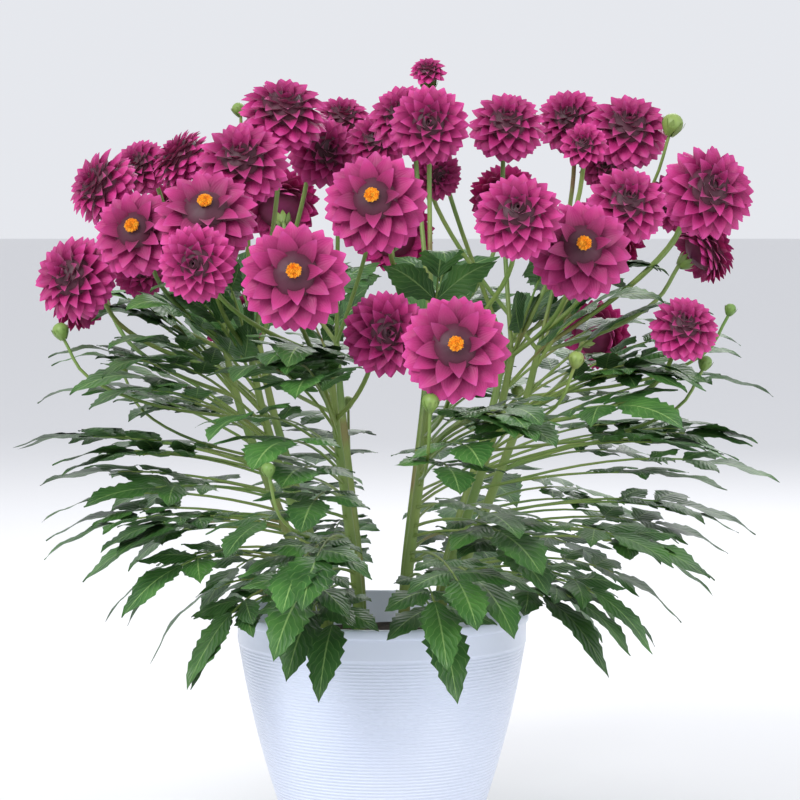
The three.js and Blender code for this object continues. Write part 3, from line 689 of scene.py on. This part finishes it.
def make_bloom(number, bloom, petal, eye):
    side = unit(np.cross(UP, bloom["axis"]))
    sides = (side, np.cross(bloom["axis"], side))
    make = PETALS[bloom["kind"]]
    draw = seeded(SEED + 977 * number)
    skin = Skin()
    # A dark ball under the petals, darkened to 0.35: painted shade that shows in the gaps between petals.
    painted_shadow_ball = [[bloom_spot(bloom, sides, math.pi * (0.02 + 0.96 * i / 7), math.pi * j / 6,
                        0.5 if bloom["kind"] == "open" else 0.6) for j in range(12)] for i in range(8)]
    skin.grid(painted_shadow_ball, 0.35, 0, closed=True)
    for i in range(make["count"]):
        share = ((i + 0.5) / make["count"]) ** 0.62
        from_axis = math.radians(mix(make["first"], make["last"], share) + 5 * (draw() - 0.5))
        width = make["width"] * mix(0.38, 1.0, share ** 0.7) * (0.92 + 0.16 * draw())
        reach = mix(0.84, 0.985, share) * (0.96 + 0.04 * draw())
        cup = make["cup"] * mix(1.5, 0.7, share)
        lean = mix(0.05, 0.3, share)
        turn = GOLDEN_TURN * i + 0.12 * (draw() - 0.5)
        # Inner petals are darker than outer ones, which is painted shade deep in the bloom, and each petal
        # also gets a random tone.
        shade = mix(0.62, 1.12, share) * (0.85 + 0.3 * draw())
        skin.grid(petal_rows(bloom, sides, from_axis, turn, reach, width, cup, lean), shade, 0)
    skin.piece(f"petals_{number:02d}", [petal], "petal", f"bloom_{number:02d}")
    if bloom["kind"] == "open":
        make_eye(number, bloom, sides, eye)


def make_eye(number, bloom, sides, eye):
    """A dome of small tubular florets."""
    seat = bloom["centre"] + bloom["axis"] * (bloom["radius"] * BLOOM_DEPTH * 0.5 + GAP)
    skin = Skin()
    florets = 64
    for i in range(florets):
        r = EYE_DISC_RADIUS * math.sqrt((i + 0.5) / florets)
        a = GOLDEN_TURN * i
        out = sides[0] * math.cos(a) + sides[1] * math.sin(a)
        tall = 5.6 - 2.6 * (r / EYE_DISC_RADIUS) ** 2
        lean = unit(bloom["axis"] + out * 0.35 * r / EYE_DISC_RADIUS)
        foot = seat + out * r * 0.8 + bloom["axis"] * 0.4
        skin.tube([foot, foot + lean * tall * 0.7, foot + lean * tall], [0.8, 0.95, 0.25], 6,
                  0.75 + 0.4 * (i % 5) / 4, 0)
    skin.piece(f"florets_{number:02d}", [eye], "eye", f"eye_{number:02d}")


def leaflet(skin, leaf, spot, shape, rows, shade, phase):
    grid = []
    for i in range(rows + 1):
        s = i / rows
        half = along(shape, s) * (1 - TOOTH_DEPTH * ((s * LEAFLET_TEETH) % 1) * (0.05 < s < 0.97))
        row = []
        for j in range(7):
            u = 2 * j / 6 - 1
            distance, across = spot(s, half * u)
            wave = 1.3 * math.sin(11 * s + phase) * abs(u) + 1.6 * (1 - abs(u)) * math.sin(math.pi * s)
            row.append(leaf_point(leaf, distance, across, wave))
        grid.append(row)
    skin.grid(grid, shade, 1)


def make_leaf(skin, leaf, draw):
    end = leaf["length"] - leaf["end"]
    shade = 0.75 + 0.55 * draw()
    phase = 6 * draw()
    rib = [leaf_point(leaf, end * i / 8, 0, 0) for i in range(9)]
    skin.tube(rib, [mix(1.5, 0.8, i / 8) for i in range(9)], 6, 1.0, 0)
    leaflet(skin, leaf, lambda s, o: end_spot(leaf, 1, s, o), END_SHAPE, 22, shade, phase)
    for side in (-1, 1):
        leaflet(skin, leaf, lambda s, o: side_spot(leaf, side, s, o), SIDE_SHAPE, 18, shade, phase + side)
        leaflet(skin, leaf, lambda s, o: side_spot(leaf, side, s, o, 50, 0.5), SIDE_SHAPE, 14, shade, phase)


def smooth_path(points, steps=4):
    """A path rounded through its points."""
    ends = [points[0] * 2 - points[1], *points, points[-1] * 2 - points[-2]]
    path = []
    for a, b, c, d in zip(ends, ends[1:], ends[2:], ends[3:]):
        for i in range(steps):
            t = i / steps
            path.append(0.5 * (2 * b + (c - a) * t + (2 * a - 5 * b + 4 * c - d) * t * t
                               + (3 * b - a - 3 * c + d) * t ** 3))
    return path + [points[-1]]


def make_sepals(skin, stalk, axis, radius, length, draw):
    side = unit(np.cross(axis, vec(0.3, 0.9, 0.1)))
    other = np.cross(axis, side)
    for i in range(8):
        a = 2 * math.pi * i / 8 + 0.3 * draw()
        out = side * math.cos(a) + other * math.sin(a)
        across = other * math.cos(a) - side * math.sin(a)
        rows = []
        for k in range(5):
            v = k / 4
            middle = stalk + axis * length * (v - 0.75) + out * radius * math.sin(1.2 * v + 0.35)
            half = 0.32 * radius * math.sin(math.pi * min(1, v * 0.93 + 0.07))
            rows.append([middle - across * half, middle + out * 0.4, middle + across * half])
        skin.grid(rows, 0.9 + 0.2 * draw(), 0)


def make_bud(skin, bud, radius, axis, draw):
    side = unit(np.cross(axis, vec(0.3, 0.9, 0.1)))
    other = np.cross(axis, side)
    rows = []
    for i in range(9):
        a = math.pi * (0.03 + 0.94 * i / 8)
        ring = [radius * math.sin(a) * (1 + 0.05 * math.cos(6 * math.pi * j / 12)) for j in range(12)]
        rows.append([bud - axis * radius * 0.95 * math.cos(a) + (side * math.cos(math.pi * j / 6)
                     + other * math.sin(math.pi * j / 6)) * ring[j] for j in range(12)])
    skin.grid(rows, 1.1, 0, closed=True)
    make_sepals(skin, bud, axis, radius * 1.05, radius * 1.6, draw)


def make_shoot(k, stalks, buds, leaves, materials):
    draw = seeded(SEED + 55 * k)
    skin = Skin()
    stem = smooth_path([stem_spot(k, r, z) for r, z, _ in STEM_PATH])
    radii = np.interp(np.linspace(0, 5, len(stem)), range(6), [row[2] for row in STEM_PATH])
    skin.tube(stem, list(radii), 10, 0.9, 0)
    for stalk, bloom in stalks:
        path = smooth_path([stalk["foot"], *stalk["points"]])
        skin.tube([stalk["top"]] + path, [CALYX_RADIUS] + [STALK_RADIUS] * len(path), 8, 1.0, 0)
        make_sepals(skin, stalk["top"], bloom["axis"], CALYX_RADIUS * 1.3, 12, draw)
    for bud, radius, axis in buds:
        path = smooth_path([bud["foot"], *bud["points"]])
        skin.tube([bud["top"]] + path, [1.8] + [1.4] * len(path), 8, 1.0, 0)
        make_bud(skin, bud["top"], radius, axis, draw)
    for leaf in leaves:
        make_leaf(skin, leaf, draw)
    skin.piece(f"leafy_stem_{k + 1:02d}", materials, "foliage", f"shoot_{k + 1:02d}")


make_camera()
make_studio()
make_pot()
make_soil()

blooms = place_blooms()
stalks = []
for bloom in blooms:
    back = bloom["radius"] * BLOOM_DEPTH * BACK_SHARE + GAP
    stalks.append(stalk_to(blooms, bloom, bloom["centre"] - bloom["axis"] * back, bloom["axis"], CALYX_LENGTH))
bud_stalks = []
for across, up, depth, radius in BUDS:
    top = seen(across, up, depth)
    outward = unit(unit(top * (1, 1, 0)) * 0.35 + UP)
    bud_stalks.append((stalk_to(blooms, None, top, outward, 6), radius, outward))

petal, eye = petal_material(), eye_material()
for number, bloom in enumerate(blooms, 1):
    make_bloom(number, bloom, petal, eye)

green = [stem_material(), leaf_material()]
centres = np.array([bloom["centre"] for bloom in blooms])
radii = np.array([bloom["radius"] for bloom in blooms])
for k in range(SHOOTS):
    every = stalks + [bud[0] for bud in bud_stalks]
    foreign = np.array([p for stalk in every if stalk["shoot"] != k for p in stalk["samples"]])
    leaves = place_leaves(k, SEED + 101 * k, LEAVES_PER_SHOOT, centres, radii, foreign)
    leaves += place_leaves(k, SEED + 101 * k + 7, EXTRA_LEAVES, centres, radii, foreign)
    own = [(stalk, bloom) for stalk, bloom in zip(stalks, blooms) if stalk["shoot"] == k]
    make_shoot(k, own, [bud for bud in bud_stalks if bud[0]["shoot"] == k], leaves, green)
